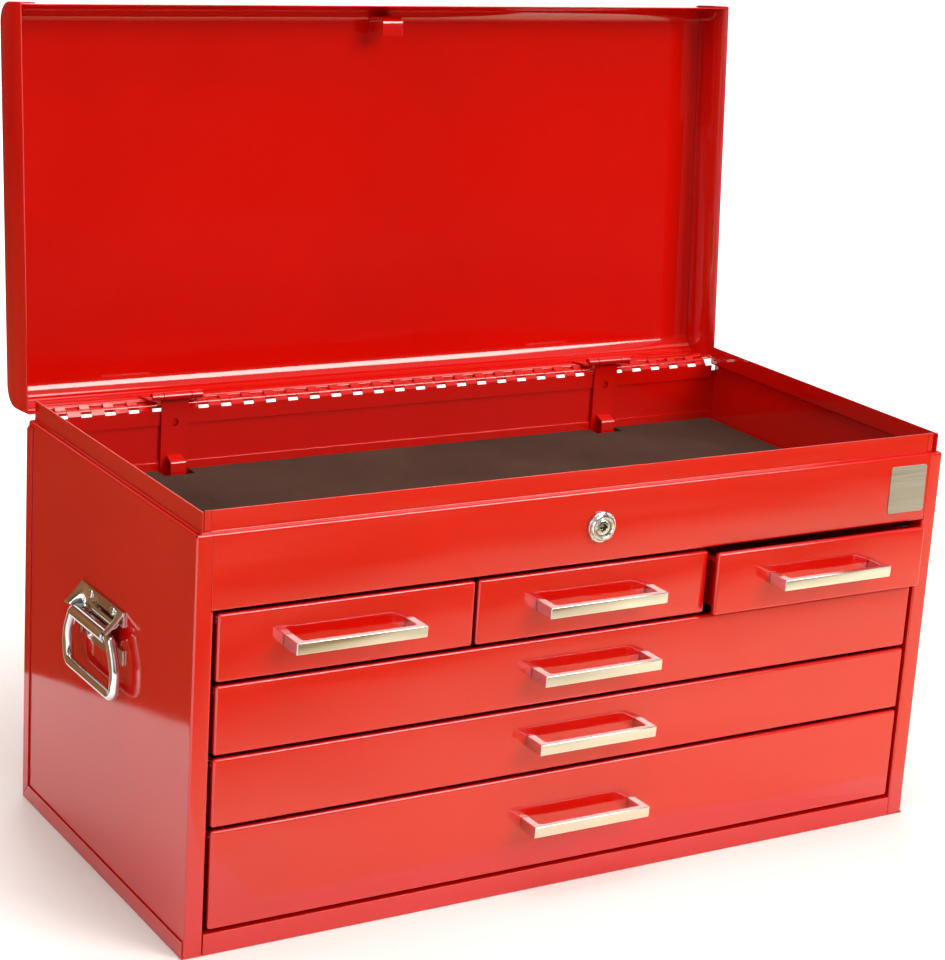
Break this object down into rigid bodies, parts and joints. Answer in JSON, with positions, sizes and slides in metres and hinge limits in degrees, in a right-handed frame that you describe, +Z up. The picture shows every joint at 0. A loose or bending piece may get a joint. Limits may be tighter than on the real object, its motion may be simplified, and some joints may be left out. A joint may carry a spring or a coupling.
{
  "type": "tool chest",
  "caption": "Red sheet-steel tool chest with a hinged lid over a lined till, small drawers in a row above full-width ones, bar pulls, a lid lock and swinging carrying handles.",
  "frame": {"origin": "middle of the underside, on the surface that the chest stands on", "axes": "+X to the right along the drawer fronts, +Y to the back where the lid is hinged, +Z up"},
  "size_m": [0.6902, 0.4148, 0.634],
  "materials": {
    "red_paint": "gloss",
    "chrome": "polished",
    "zinc_steel": "zinc plated",
    "foam": "matt foam"
  },
  "bodies": {
    "chest": {"back_panel": "red_paint", "bottom_pan": "red_paint", "deep_drawer_left_runner": "zinc_steel", "deep_drawer_right_runner": "zinc_steel", "front_panel": "red_paint", "hinge_lower_leaf": "red_paint", "hinge_pin": "zinc_steel", "left_divider": "red_paint", "left_drawer_left_runner": "zinc_steel", "left_drawer_right_runner": "zinc_steel", "left_handle_plate": "chrome", "left_side_panel": "red_paint", "lock_housing": "chrome", "lower_drawer_left_runner": "zinc_steel", "lower_drawer_right_runner": "zinc_steel", "middle_drawer_left_runner": "zinc_steel", "middle_drawer_right_runner": "zinc_steel", "right_divider": "red_paint", "right_drawer_left_runner": "zinc_steel", "right_drawer_right_runner": "zinc_steel", "right_handle_plate": "chrome", "right_side_panel": "red_paint", "till_floor": "red_paint", "till_liner": "foam", "upper_drawer_left_runner": "zinc_steel", "upper_drawer_right_runner": "zinc_steel"},
    "deep_drawer": {"deep_drawer_tray": "red_paint", "deep_drawer_front": "red_paint", "deep_drawer_pull": "chrome", "deep_drawer_back": "red_paint"},
    "lower_drawer": {"lower_drawer_tray": "red_paint", "lower_drawer_front": "red_paint", "lower_drawer_pull": "chrome", "lower_drawer_back": "red_paint"},
    "upper_drawer": {"upper_drawer_tray": "red_paint", "upper_drawer_front": "red_paint", "upper_drawer_pull": "chrome", "upper_drawer_back": "red_paint"},
    "left_drawer": {"left_drawer_tray": "red_paint", "left_drawer_front": "red_paint", "left_drawer_pull": "chrome"},
    "middle_drawer": {"middle_drawer_tray": "red_paint", "middle_drawer_front": "red_paint", "middle_drawer_pull": "chrome"},
    "right_drawer": {"right_drawer_tray": "red_paint", "right_drawer_front": "red_paint", "right_drawer_pull": "chrome"},
    "lid": {"lid_shell": "red_paint", "lid_left_end": "red_paint", "lid_right_end": "red_paint", "hinge_upper_leaf": "red_paint", "lid_catch": "red_paint", "left_bar_bracket": "red_paint", "right_bar_bracket": "red_paint"},
    "left_lock_bar": {"left_lock_bar": "red_paint"},
    "right_lock_bar": {"right_lock_bar": "red_paint"},
    "lock_barrel": {"lock_plug": "chrome", "lock_cam": "zinc_steel"},
    "left_bail": {"left_bail": "chrome"},
    "right_bail": {"right_bail": "chrome"}
  },
  "joints": [
    {"name": "lid_hinge", "type": "hinge", "parent": "chest", "child": "lid", "pos_m": [0, 0.1591, 0.3181], "axis": [1, 0, 0], "range_deg": [0, 94.5]},
    {"name": "deep_drawer_slide", "type": "slide", "parent": "chest", "child": "deep_drawer", "axis": [0, -1, 0], "range_m": [0, 0.22]},
    {"name": "lower_drawer_slide", "type": "slide", "parent": "chest", "child": "lower_drawer", "axis": [0, -1, 0], "range_m": [0, 0.22]},
    {"name": "upper_drawer_slide", "type": "slide", "parent": "chest", "child": "upper_drawer", "axis": [0, -1, 0], "range_m": [0, 0.22]},
    {"name": "left_drawer_slide", "type": "slide", "parent": "chest", "child": "left_drawer", "axis": [0, -1, 0], "range_m": [0, 0.22]},
    {"name": "middle_drawer_slide", "type": "slide", "parent": "chest", "child": "middle_drawer", "axis": [0, -1, 0], "range_m": [0, 0.22]},
    {"name": "right_drawer_slide", "type": "slide", "parent": "chest", "child": "right_drawer", "axis": [0, -1, 0], "range_m": [-0.01, 0.21]},
    {"name": "lock_turn", "type": "hinge", "parent": "chest", "child": "lock_barrel", "pos_m": [0, -0.1565, 0.2881], "axis": [0, -1, 0], "range_deg": [0, 90]},
    {"name": "left_bail_swing", "type": "hinge", "parent": "chest", "child": "left_bail", "pos_m": [-0.3392, 0, 0.202], "axis": [0, 1, 0], "range_deg": [0, 90]},
    {"name": "left_link_turn", "type": "hinge", "parent": "lid", "child": "left_lock_bar", "pos_m": [-0.2075, 0.1503, 0.3276], "axis": [1, 0, 0], "range_deg": [-94.5, 0]},
    {"name": "right_bail_swing", "type": "hinge", "parent": "chest", "child": "right_bail", "pos_m": [0.3392, 0, 0.202], "axis": [0, -1, 0], "range_deg": [0, 90]},
    {"name": "right_link_turn", "type": "hinge", "parent": "lid", "child": "right_lock_bar", "pos_m": [0.2075, 0.1503, 0.3276], "axis": [1, 0, 0], "range_deg": [-94.5, 0]}
  ],
  "couplings": [
    {"joint": "left_link_turn", "follows": "lid_hinge", "ratio": -1},
    {"joint": "right_link_turn", "follows": "lid_hinge", "ratio": -1}
  ]
}
